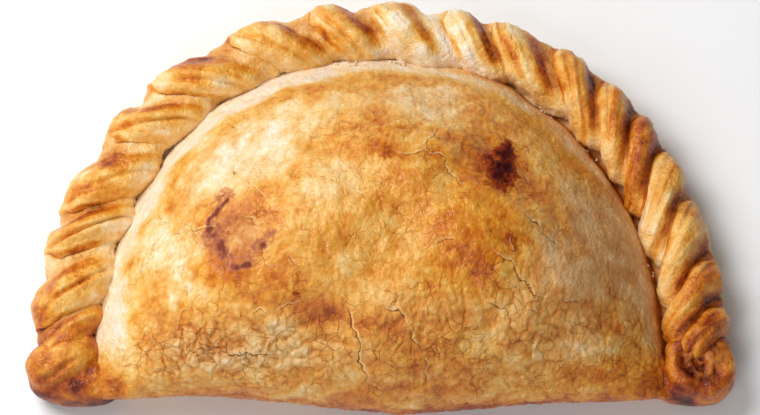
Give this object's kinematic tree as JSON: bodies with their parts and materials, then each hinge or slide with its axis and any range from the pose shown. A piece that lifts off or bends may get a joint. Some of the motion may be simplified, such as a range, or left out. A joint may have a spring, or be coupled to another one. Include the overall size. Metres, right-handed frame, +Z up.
{
  "type": "empanada",
  "caption": "Baked half-moon empanada: a swollen folded crust over its filling, with the curved edge twisted into a rope crimp.",
  "frame": {"origin": "on the table, under the middle of the pastry's box", "axes": "+X along the straight fold, +Y from the fold to the back of the rope crimp, +Z up"},
  "size_m": [0.1306, 0.0806, 0.0329],
  "materials": {
    "baked_crust": "egg-washed baked pastry, satin, browned in patches"
  },
  "bodies": {
    "root": {"empanada": "baked_crust"}
  },
  "joints": []
}
